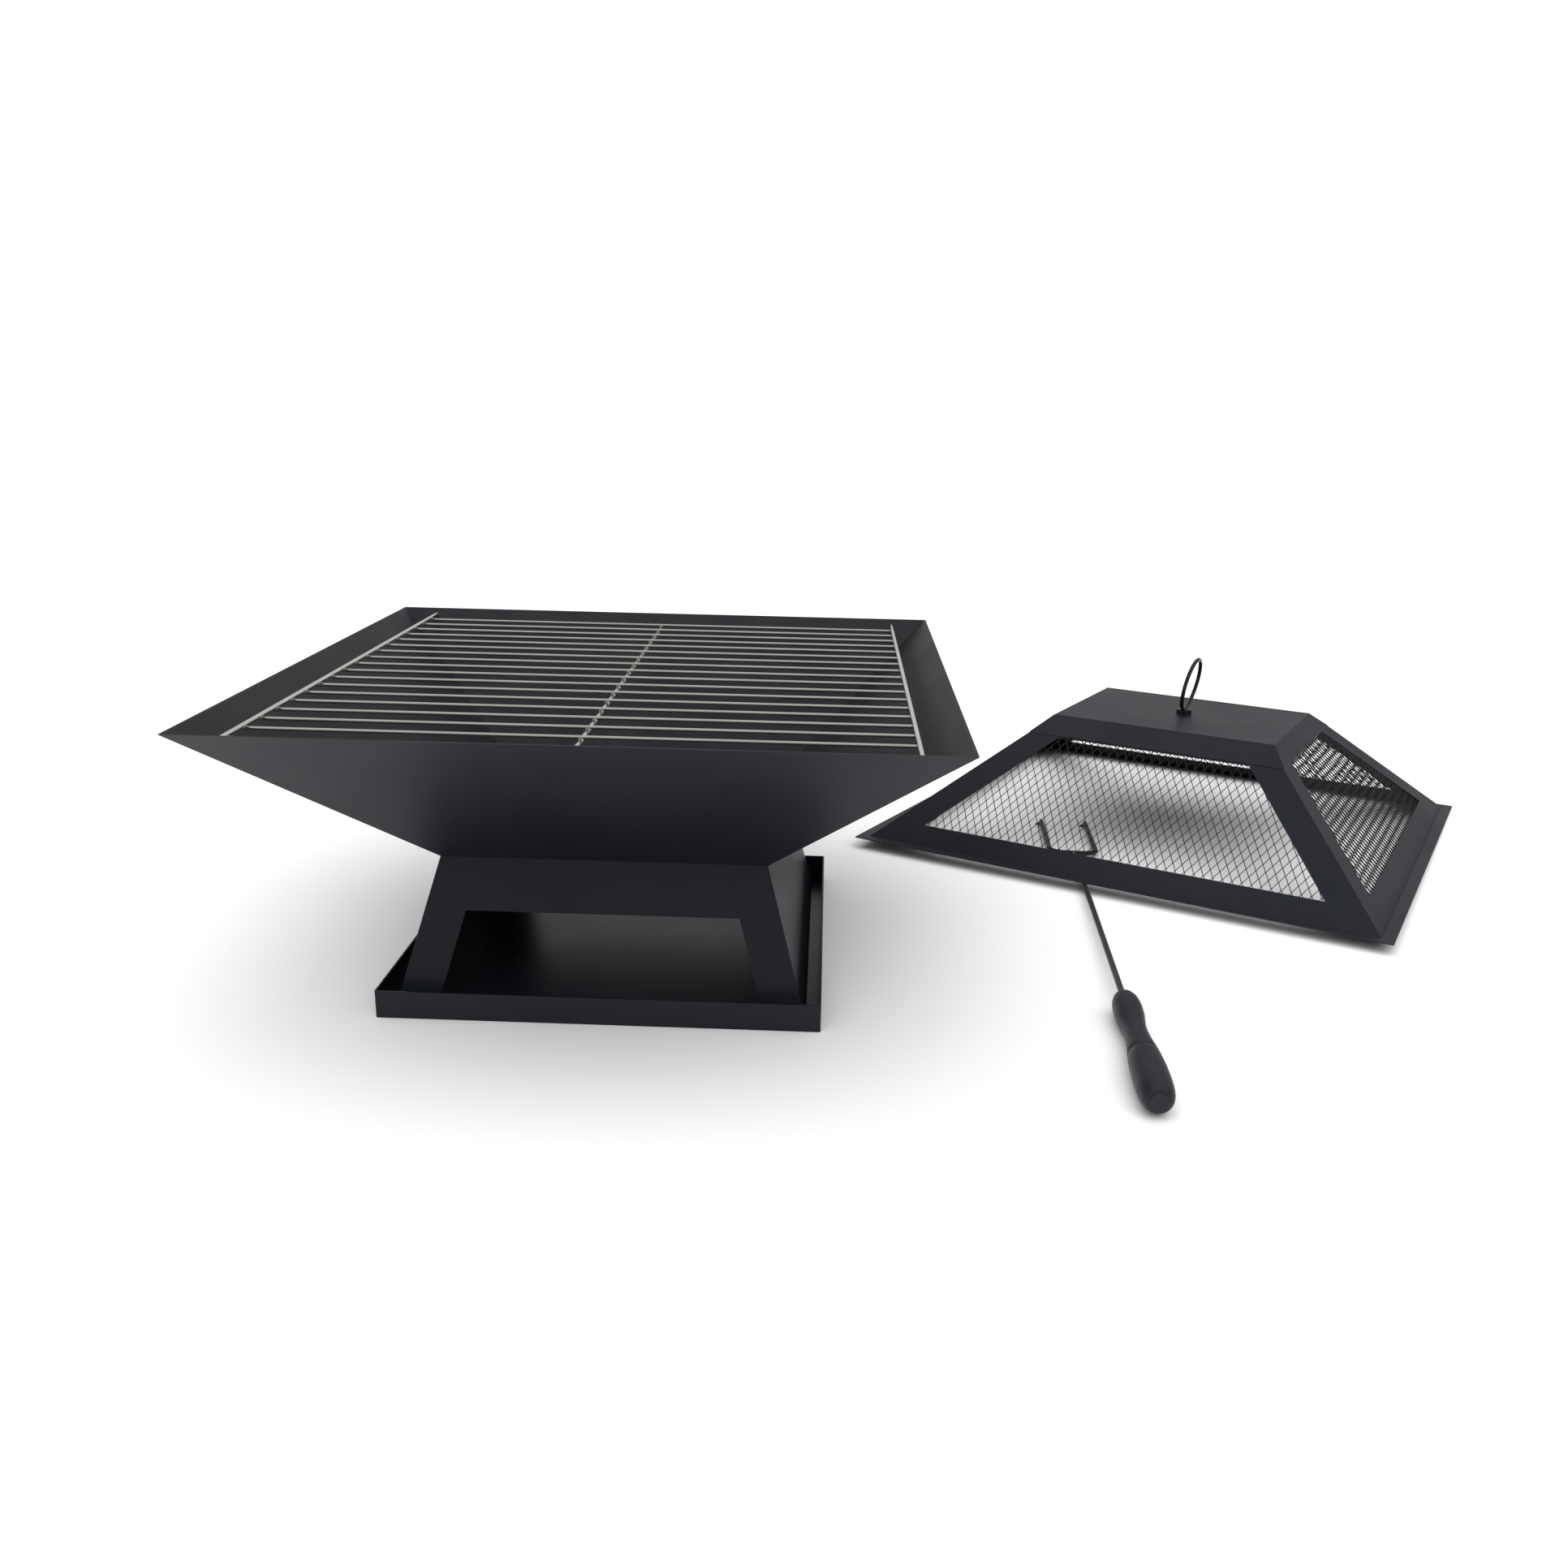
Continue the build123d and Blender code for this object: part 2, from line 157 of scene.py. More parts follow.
class Effects:
    """The effects that several finishes share, each built once."""

    def __init__(self) -> None:
        """Build the groups."""
        self.edge_wear_and_highlight = self._edge_wear_and_highlight()
        self.dust = self._dust()
        self.grain = self._grain()

    def _edge_wear_and_highlight(self) -> bpy.types.NodeTree:
        """Build a mask of edges, broken up by noise, for rubbed edge wear and a painted highlight along the
        edges.

        Returns:
            The group, from Radius, Patch Scale and Amount to Mask.
        """
        # Edge mask for a lighter colour along edges: partly rubbed wear, partly a painted highlight where
        # edges catch light.
        group = EffectGroup("edge_wear_and_highlight", {"Radius": 0.001, "Patch Scale": 60.0, "Amount": 0.5}, ["Mask"])
        rounded = group.node("Bevel", samples=4)
        group.link(group.given.outputs["Radius"], rounded.inputs["Radius"])
        flat = group.node("NewGeometry")
        turned = group.node("VectorMath", operation="DOT_PRODUCT")
        group.link(rounded.outputs["Normal"], turned.inputs[0])
        group.link(flat.outputs["Normal"], turned.inputs[1])
        edge = group.ramp(0.99, 0.8, 0.0, 1.0, interpolation_type="SMOOTHSTEP")
        group.link(turned.outputs["Value"], edge.inputs["Value"])
        place = group.node("TexCoord")
        patches = group.node("TexNoise")
        patches.inputs["Detail"].default_value = 4.0
        group.link(place.outputs["Object"], patches.inputs["Vector"])
        group.link(group.given.outputs["Patch Scale"], patches.inputs["Scale"])
        broken = group.ramp(0.42, 0.62, 0.25, 1.0, interpolation_type="SMOOTHSTEP")
        group.link(patches.outputs["Fac"], broken.inputs["Value"])
        both = group.node("Math", operation="MULTIPLY")
        group.link(edge.outputs["Result"], both.inputs[0])
        group.link(broken.outputs["Result"], both.inputs[1])
        scaled = group.node("Math", operation="MULTIPLY", use_clamp=True)
        group.link(both.outputs["Value"], scaled.inputs[0])
        group.link(group.given.outputs["Amount"], scaled.inputs[1])
        group.link(scaled.outputs["Value"], group.result.inputs["Mask"])
        return group.tree

    def _dust(self) -> bpy.types.NodeTree:
        """Build a mask of fine dust that lies on faces that look up.

        Returns:
            The group, from Scale and Amount to Mask.
        """
        group = EffectGroup("settled_dust", {"Scale": 14.0, "Amount": 0.3}, ["Mask"])
        facing = group.node("NewGeometry")
        parts = group.node("SeparateXYZ")
        group.link(facing.outputs["Normal"], parts.inputs["Vector"])
        upward = group.ramp(0.3, 1.0, 0.0, 1.0, interpolation_type="SMOOTHSTEP")
        group.link(parts.outputs["Z"], upward.inputs["Value"])
        place = group.node("TexCoord")
        cloud = group.node("TexNoise")
        cloud.inputs["Detail"].default_value = 6.0
        cloud.inputs["Roughness"].default_value = 0.62
        group.link(place.outputs["Object"], cloud.inputs["Vector"])
        group.link(group.given.outputs["Scale"], cloud.inputs["Scale"])
        drift = group.ramp(0.3, 0.75, 0.3, 1.0)
        group.link(cloud.outputs["Fac"], drift.inputs["Value"])
        both = group.node("Math", operation="MULTIPLY")
        group.link(upward.outputs["Result"], both.inputs[0])
        group.link(drift.outputs["Result"], both.inputs[1])
        scaled = group.node("Math", operation="MULTIPLY", use_clamp=True)
        group.link(both.outputs["Value"], scaled.inputs[0])
        group.link(group.given.outputs["Amount"], scaled.inputs[1])
        group.link(scaled.outputs["Value"], group.result.inputs["Mask"])
        return group.tree

    def _grain(self) -> bpy.types.NodeTree:
        """Build fine grain for bump, and broad drift for colour and gloss.

        Returns:
            The group, from Fine Scale and Broad Scale to Height and Drift.
        """
        group = EffectGroup("surface_grain", {"Fine Scale": 1400.0, "Broad Scale": 9.0}, ["Height", "Drift"])
        place = group.node("TexCoord")
        fine = group.node("TexNoise")
        fine.inputs["Detail"].default_value = 3.0
        group.link(place.outputs["Object"], fine.inputs["Vector"])
        group.link(group.given.outputs["Fine Scale"], fine.inputs["Scale"])
        broad = group.node("TexNoise")
        broad.inputs["Detail"].default_value = 5.0
        group.link(place.outputs["Object"], broad.inputs["Vector"])
        group.link(group.given.outputs["Broad Scale"], broad.inputs["Scale"])
        group.link(fine.outputs["Fac"], group.result.inputs["Height"])
        group.link(broad.outputs["Fac"], group.result.inputs["Drift"])
        return group.tree


# ------------------------------------------------------------------ finishes
@dataclass(frozen=True)
class Finish:
    """One surface finish: its colours, its gloss, how it wears, and the painted highlight along its edges.
    """

    name: str
    slot: Slot
    base: Colour
    shade: Colour
    # Lighter edge colour: partly rubbed wear, partly a painted highlight along edges.
    wear_and_highlight: Colour
    dust: Colour = (0.16, 0.155, 0.145)
    metallic: float = 0.0
    roughness: tuple[float, float] = (0.36, 0.46)
    specular: float = 0.28
    fine_scale: float = 1400.0
    broad_scale: float = 9.0
    bump: float = 0.05
    bump_depth: float = 0.00006
    wear_and_highlight_radius: float = 0.0009
    wear_and_highlight_amount: float = 0.5
    wear_and_highlight_patch: float = 60.0
    dust_amount: float = 0.0
    dust_scale: float = 14.0
    dust_dulls: float = 0.35

    def make(self, effects: Effects) -> bpy.types.Material:
        """Build the material.

        Args:
            effects: The shared shader groups.

        Returns:
            The material.
        """
        material = bpy.data.materials.new(self.name)
        material.use_nodes = True
        tree = material.node_tree
        shader = tree.nodes["Principled BSDF"]
        shader.inputs["Specular IOR Level"].default_value = self.specular
        shader.inputs["Metallic"].default_value = self.metallic

        grain = self._group(tree, effects.grain, {
            "Fine Scale": self.fine_scale, "Broad Scale": self.broad_scale,
        })
        wear_and_highlight = self._group(tree, effects.edge_wear_and_highlight, {
            "Radius": self.wear_and_highlight_radius, "Patch Scale": self.wear_and_highlight_patch, "Amount": self.wear_and_highlight_amount,
        })
        dust = self._group(tree, effects.dust, {"Scale": self.dust_scale, "Amount": self.dust_amount})

        ground = self._mix(tree, grain.outputs["Drift"], self.base, self.shade)
        dusty = self._mix(tree, dust.outputs["Mask"], ground, self.dust)
        # Mix the lighter edge colour in along the edge mask: rubbed wear plus a painted edge highlight.
        worn_and_highlit = self._mix(tree, wear_and_highlight.outputs["Mask"], dusty, self.wear_and_highlight)
        tree.links.new(worn_and_highlit, shader.inputs["Base Color"])

        gloss = tree.nodes.new("ShaderNodeMapRange")
        gloss.inputs["From Min"].default_value = 0.3
        gloss.inputs["From Max"].default_value = 0.7
        gloss.inputs["To Min"].default_value = self.roughness[0]
        gloss.inputs["To Max"].default_value = self.roughness[1]
        tree.links.new(grain.outputs["Drift"], gloss.inputs["Value"])
        dulled = tree.nodes.new("ShaderNodeMath")
        dulled.operation = "MULTIPLY_ADD"
        dulled.inputs[1].default_value = self.dust_dulls
        tree.links.new(dust.outputs["Mask"], dulled.inputs[0])
        tree.links.new(gloss.outputs["Result"], dulled.inputs[2])
        tree.links.new(dulled.outputs["Value"], shader.inputs["Roughness"])

        bump = tree.nodes.new("ShaderNodeBump")
        bump.inputs["Strength"].default_value = self.bump
        bump.inputs["Distance"].default_value = self.bump_depth
        tree.links.new(grain.outputs["Height"], bump.inputs["Height"])
        tree.links.new(bump.outputs["Normal"], shader.inputs["Normal"])
        return material

    @staticmethod
    def _group(
        tree: bpy.types.NodeTree, effect: bpy.types.NodeTree, values: dict[str, float]
    ) -> bpy.types.Node:
        """Place a shared group with its own values.

        Args:
            tree: Node tree of the material.
            effect: The shared group.
            values: Value of each input.

        Returns:
            The group's node.
        """
        node = tree.nodes.new("ShaderNodeGroup")
        node.node_tree = effect
        for label, value in values.items():
            node.inputs[label].default_value = value
        return node

    @staticmethod
    def _mix(
        tree: bpy.types.NodeTree,
        mask: bpy.types.NodeSocket,
        low: bpy.types.NodeSocket | Colour,
        high: Colour,
    ) -> bpy.types.NodeSocket:
        """Mix two colours by a mask.

        Args:
            tree: Node tree of the material.
            mask: Share of the second colour.
            low: Colour or socket where the mask is 0.
            high: Colour where the mask is 1.

        Returns:
            The mixed colour's socket.
        """
        mix = tree.nodes.new("ShaderNodeMix")
        mix.data_type = "RGBA"
        colours = [socket for socket in mix.inputs if socket.type == "RGBA"]
        tree.links.new(mask, mix.inputs["Factor"])
        if isinstance(low, tuple):
            colours[0].default_value = (*low, 1.0)
        else:
            tree.links.new(low, colours[0])
        colours[1].default_value = (*high, 1.0)
        return next(socket for socket in mix.outputs if socket.type == "RGBA")


# The edge colours below go on along edges as rubbed wear together with a painted highlight.
SHEET_BLACK = Finish(
    "sheet_black_powder_coat", Slot.POWDER_COAT,
    base=(0.0055, 0.0072, 0.0115), shade=(0.0078, 0.0096, 0.0142), wear_and_highlight=(0.055, 0.056, 0.060),
    roughness=(0.38, 0.46), bump=0.35, bump_depth=0.00004, dust_amount=0.12, dust=(0.05, 0.048, 0.045),
    wear_and_highlight_amount=0.45, wear_and_highlight_radius=0.0007,
)
TRAY_BLACK = Finish(
    "tray_black_powder_coat", Slot.POWDER_COAT,
    base=(0.0050, 0.0070, 0.0115), shade=(0.0070, 0.0090, 0.0140), wear_and_highlight=(0.055, 0.056, 0.060),
    roughness=(0.24, 0.31), bump=0.06, bump_depth=0.00002, dust_amount=0.05, dust=(0.06, 0.058, 0.055),
    wear_and_highlight_amount=0.15, wear_and_highlight_radius=0.0007,
)
BOWL_BLACK = Finish(
    "bowl_black_powder_coat", Slot.POWDER_COAT,
    base=(0.0055, 0.0072, 0.0115), shade=(0.0078, 0.0096, 0.0142), wear_and_highlight=(0.060, 0.060, 0.062),
    roughness=(0.40, 0.48), bump=0.35, bump_depth=0.00004, dust_amount=0.5, dust=(0.046, 0.040, 0.037),
    dust_scale=22.0, wear_and_highlight_amount=0.45, wear_and_highlight_radius=0.0007,
)
MESH_BLACK = Finish(
    "spark_mesh_black", Slot.SPARK_MESH,
    base=(0.010, 0.010, 0.011), shade=(0.018, 0.018, 0.019), wear_and_highlight=(0.05, 0.05, 0.05),
    roughness=(0.42, 0.55), bump=0.3, bump_depth=0.00003, broad_scale=40.0, wear_and_highlight_amount=0.0,
)
NICKEL_WIRE = Finish(
    "grate_nickel_wire", Slot.GRATE_WIRE,
    base=(0.95, 0.93, 0.89), shade=(0.80, 0.76, 0.70), wear_and_highlight=(0.95, 0.93, 0.89),
    metallic=1.0, roughness=(0.13, 0.27), fine_scale=900.0, broad_scale=35.0,
    bump=0.08, bump_depth=0.00003, wear_and_highlight_amount=0.0,
)
ZINC = Finish(
    "zinc_plated_steel", Slot.ZINC_STEEL,
    base=(0.52, 0.53, 0.55), shade=(0.42, 0.42, 0.42), wear_and_highlight=(0.70, 0.70, 0.70),
    metallic=1.0, roughness=(0.28, 0.42), broad_scale=120.0, bump=0.2,
    bump_depth=0.00002, wear_and_highlight_amount=0.4, wear_and_highlight_radius=0.0004,
)
ROD_BLACK = Finish(
    "rod_black_enamel", Slot.BLACK_STEEL,
    base=(0.010, 0.0105, 0.012), shade=(0.016, 0.016, 0.018), wear_and_highlight=(0.09, 0.088, 0.085),
    roughness=(0.26, 0.38), broad_scale=60.0, bump=0.4, bump_depth=0.00004,
    wear_and_highlight_amount=0.35, wear_and_highlight_radius=0.0006, dust_amount=0.08,
)
GRIP_BLACK = Finish(
    "grip_moulded_plastic", Slot.GRIP_PLASTIC,
    base=(0.010, 0.012, 0.017), shade=(0.014, 0.016, 0.022), wear_and_highlight=(0.08, 0.08, 0.09),
    roughness=(0.44, 0.56), fine_scale=2200.0, broad_scale=70.0, bump=0.5, bump_depth=0.00006,
    wear_and_highlight_amount=0.5, wear_and_highlight_radius=0.0006, dust_amount=0.1, dust=(0.08, 0.08, 0.08),
)


# ------------------------------------------------------------------ workshop
class Workshop:
    """Modelling steps that the sub-assemblies share."""

    def __init__(self, effects: Effects) -> None:
        """Remember the finishes as they are made.

        Args:
            effects: The shared shader groups.
        """
        self.effects = effects
        self._made: dict[str, bpy.types.Material] = {}

    def material(self, finish: Finish) -> bpy.types.Material:
        """Give the material of a finish, made on first use.

        Args:
            finish: The finish.

        Returns:
            Its material.
        """
        if finish.name not in self._made:
            self._made[finish.name] = finish.make(self.effects)
        return self._made[finish.name]

    def dress(self, piece: bpy.types.Object, finish: Finish) -> None:
        """Put one finish all over a piece.

        Args:
            piece: The piece.
            finish: The finish.
        """
        piece.data.materials.clear()
        piece.data.materials.append(self.material(finish))
        for face in piece.data.polygons:
            face.material_index = 0

    def dress_node(self, node: str, nodes: dict[str, bpy.types.Object], finish: Finish) -> None:
        """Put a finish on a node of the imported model.

        Args:
            node: Name of the node.
            nodes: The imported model's objects.
            finish: The finish.
        """
        self.dress(nodes[node], finish)
        log.info("node %s: %s", node, finish.name)

    @staticmethod
    def only(piece: bpy.types.Object) -> None:
        """Make a piece the one selected and active object.

        Args:
            piece: The piece.
        """
        for other in bpy.context.view_layer.objects:
            other.select_set(False)
        piece.select_set(True)
        bpy.context.view_layer.objects.active = piece

    @staticmethod
    def clear() -> None:
        """Deselect everything."""
        for other in bpy.context.view_layer.objects:
            other.select_set(False)
        bpy.context.view_layer.objects.active = None

    def edit(self, piece: bpy.types.Object, steps: Callable[[], None]) -> None:
        """Run modelling steps in edit mode.

        Args:
            piece: The piece to shape.
            steps: What to do while it is open.
        """
        self.only(piece)
        bpy.ops.object.mode_set(mode="EDIT")
        steps()
        bpy.ops.object.mode_set(mode="OBJECT")

    @staticmethod
    def pick(test: Callable[[Vector], bool], kind: str = "FACE") -> int:
        """Select the open mesh's faces, edges or corners whose middle passes a test.

        Args:
            test: Says whether an element's middle is wanted.
            kind: FACE, EDGE or VERT.

        Returns:
            How many were selected.
        """
        data = bpy.context.edit_object.data
        bpy.ops.mesh.select_mode(type=kind)
        bpy.ops.mesh.select_all(action="DESELECT")
        mesh = bmesh.from_edit_mesh(data)
        count = 0
        group = {"FACE": mesh.faces, "EDGE": mesh.edges, "VERT": mesh.verts}[kind]
        for element in group:
            corners = [element] if kind == "VERT" else element.verts
            middle = sum((corner.co for corner in corners), Vector()) / len(corners)
            if test(middle):
                element.select_set(True)
                count += 1
        mesh.select_flush_mode()
        bmesh.update_edit_mesh(data)
        return count

    def modify(self, piece: bpy.types.Object, kind: str, **settings: object) -> None:
        """Add a modifier and apply it.

        Args:
            piece: The piece.
            kind: Type of the modifier.
            **settings: Its properties.
        """
        self.only(piece)
        modifier = piece.modifiers.new(kind.lower(), kind)
        for label, value in settings.items():
            setattr(modifier, label, value)
        bpy.ops.object.modifier_apply(modifier=modifier.name)

    def soften(self, piece: bpy.types.Object, width: float, segments: int = 2) -> None:
        """Round a sheet's edges a little.

        Args:
            piece: The piece.
            width: Width of the rounding.
            segments: Faces across it.
        """
        self.modify(
            piece, "BEVEL", width=width, segments=segments, limit_method="ANGLE",
            angle_limit=FOLD_ANGLE, use_clamp_overlap=True,
        )

    def copy_of(self, node: str, nodes: dict[str, bpy.types.Object], name: str) -> bpy.types.Object:
        """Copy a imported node's shape as a clean mesh of its own.

        Args:
            node: Name of the node.
            nodes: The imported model's objects.
            name: Name of the copy.

        Returns:
            The copy, with its doubles merged and its flat faces made whole.
        """
        self.clear()
        piece = bpy.data.objects.new(name, nodes[node].data.copy())
        bpy.context.scene.collection.objects.link(piece)

        def steps() -> None:
            """Merge loose corners and flat triangles."""
            bpy.ops.mesh.select_all(action="SELECT")
            bpy.ops.mesh.remove_doubles(threshold=MERGE_GAP)
            bpy.ops.mesh.dissolve_limited(angle_limit=FLAT_ANGLE, use_dissolve_boundaries=False)

        self.edit(piece, steps)
        return piece

    def finish_piece(
        self,
        piece: bpy.types.Object,
        name: str,
        finish: Finish,
        body: Body,
        stands_for: Sequence[str] = (),
        smooth: float = 50.0,
        flat: bool = False,
    ) -> bpy.types.Object:
        """Settle a piece's place into its mesh, then dress it and let it ride.

        Args:
            piece: The piece.
            name: Name of the piece.
            finish: Its finish.
            body: The body that it rides on.
            stands_for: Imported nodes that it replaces.
            smooth: Greatest angle across a smooth edge, in degrees.
            flat: Keep broad faces flat and let only their rounded edges shade round.

        Returns:
            The piece.
        """
        self.only(piece)
        bpy.ops.object.transform_apply(location=True, rotation=True, scale=True)
        bpy.ops.object.shade_smooth_by_angle(angle=math.radians(smooth))
        if flat:
            self.modify(piece, "WEIGHTED_NORMAL", mode="FACE_AREA", weight=100, keep_sharp=True)
        piece.name = name
        piece.data.name = name
        self.dress(piece, finish)
        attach(piece, body.value)
        if stands_for:
            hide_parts(*stands_for)
        log.info("piece %s: %d faces on %s", name, len(piece.data.polygons), body.value)
        return piece

    def soft_copy(
        self,
        node: str,
        nodes: dict[str, bpy.types.Object],
        finish: Finish,
        body: Body,
        width: float,
        segments: int = 2,
    ) -> bpy.types.Object:
        """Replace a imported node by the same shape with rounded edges.

        Args:
            node: Name of the node.
            nodes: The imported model's objects.
            finish: The finish of the piece.
            body: The body that it rides on.
            width: Width of the rounding.
            segments: Faces across it.

        Returns:
            The new piece.
        """
        piece = self.copy_of(node, nodes, node + "_sheet")
        self.soften(piece, width, segments)
        return self.finish_piece(piece, node + "_sheet", finish, body, [node], flat=True)


# ------------------------------------------------------------------ the pit
@dataclass
class Pit:
    """Bowl and stand, with the screws that join them, and the ash tray."""

    shop: Workshop
    nodes: dict[str, bpy.types.Object]
    edge: float = 0.35 * MM
    corner_reach: float = 1 * MM
    walls: tuple[str, ...] = ("bowl_wall_front", "bowl_wall_right", "bowl_wall_back", "bowl_wall_left")

    def build(self) -> None:
        """Build every piece of the pit."""
        self.bowl()
        self.shop.dress_node("bowl_floor", self.nodes, BOWL_BLACK)
        self.shop.soft_copy("stand", self.nodes, SHEET_BLACK, Body.PIT, self.edge)
        self.shop.soft_copy("tray", self.nodes, TRAY_BLACK, Body.TRAY, self.edge)
        for node in ("bowl_screws", "bowl_washers", "bowl_nuts"):
            self.shop.dress_node(node, self.nodes, ZINC)

    def bowl(self) -> None:
        """Shape the four flared walls as one welded shell."""
        low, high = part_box(self.walls[0])
        half_top = high.x
        rim, foot = high.z, low.z
        wall = [corner.co for corner in self.nodes[self.walls[0]].data.vertices]
        half_foot = max(abs(point.x) for point in wall if point.z < foot + LEVEL_SLACK)
        inner_top = min(abs(point.y) for point in wall if point.z > rim - LEVEL_SLACK)
        thickness = half_top - inner_top
        half_inner_foot = half_foot - thickness
        self.shop.clear()
        bpy.ops.mesh.primitive_plane_add(size=2 * half_top, location=(0, 0, rim))
        shell = bpy.context.object

        def steps() -> None:
            """Inset the mouth, then draw the walls down to the foot."""
            bpy.ops.mesh.select_all(action="SELECT")
            bpy.ops.mesh.inset(thickness=thickness, depth=0)
            bpy.ops.mesh.delete(type="FACE")
            reach = half_top - thickness / 2
            for outer, wide, narrow in ((False, inner_top, half_inner_foot), (True, half_top, half_foot)):
                self.shop.pick(
                    lambda middle: (max(abs(middle.x), abs(middle.y)) > reach) == outer
                    and abs(abs(middle.x) - abs(middle.y)) > self.corner_reach
                    and middle.z > -self.corner_reach,
                    "EDGE",
                )
                bpy.ops.mesh.extrude_region_move(TRANSFORM_OT_translate={"value": (0, 0, foot - rim)})
                share = narrow / wide
                bpy.ops.transform.resize(
                    value=(share, share, 1), orient_type="GLOBAL", center_override=(0, 0, foot)
                )
            self.shop.pick(lambda middle: middle.z < foot - rim + self.corner_reach, "EDGE")
            bpy.ops.mesh.bridge_edge_loops()
            bpy.ops.mesh.select_all(action="SELECT")
            bpy.ops.mesh.normals_make_consistent(inside=False)

        self.shop.edit(shell, steps)
        self.shop.soften(shell, self.edge)
        self.shop.finish_piece(shell, "bowl_shell", BOWL_BLACK, Body.PIT, self.walls, flat=True)


# ------------------------------------------------------------------ the grate
@dataclass
class Grate:
    """Wire cooking grate: side rods, centre rod, cross bars and their welds."""

    shop: Workshop
    nodes: dict[str, bpy.types.Object]
    bars: int = 18
    weld_radius: float = 1.05 * MM
    weld_shape: tuple[float, float, float] = (1.5, 0.9, 0.62)
    weld_sink: float = 0.15

    def build(self) -> None:
        """Dress the wires and add a weld bead where they cross."""
        for node in ("grate_rod_left", "grate_rod_right", "grate_rod_centre", "grate_bars"):
            self.shop.dress_node(node, self.nodes, NICKEL_WIRE)
        self.welds()

    def welds(self) -> None:
        """Put a small bead beside each joint of a bar and a side rod."""
        low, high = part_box("grate_bars")
        bar = (high.z - low.z) / 2
        first, last = low.y + bar, high.y - bar
        pitch = (last - first) / (self.bars - 1)
        height = high.z - bar * self.weld_sink
        self.shop.clear()
        bpy.ops.mesh.primitive_ico_sphere_add(subdivisions=2, radius=self.weld_radius)
        bead = bpy.context.object

        def steps() -> None:
            """Flatten the bead and draw it out along the wire."""
            bpy.ops.mesh.select_all(action="SELECT")
            bpy.ops.transform.resize(value=self.weld_shape)

        self.shop.edit(bead, steps)
        beads = [bead]
        for rod in ("grate_rod_left", "grate_rod_right"):
            rod_low, rod_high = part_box(rod)
            across = (rod_low.x + rod_high.x) / 2
            for count in range(self.bars):
                one = bead.copy()
                one.data = bead.data.copy()
                one.location = (across, first + count * pitch, height)
                bpy.context.scene.collection.objects.link(one)
                beads.append(one)
        bpy.data.objects.remove(beads.pop(0))
        self.shop.clear()
        for one in beads:
            one.select_set(True)
        bpy.context.view_layer.objects.active = beads[0]
        bpy.ops.object.join()
        self.shop.finish_piece(bpy.context.object, "grate_welds", NICKEL_WIRE, Body.GRATE, smooth=60)


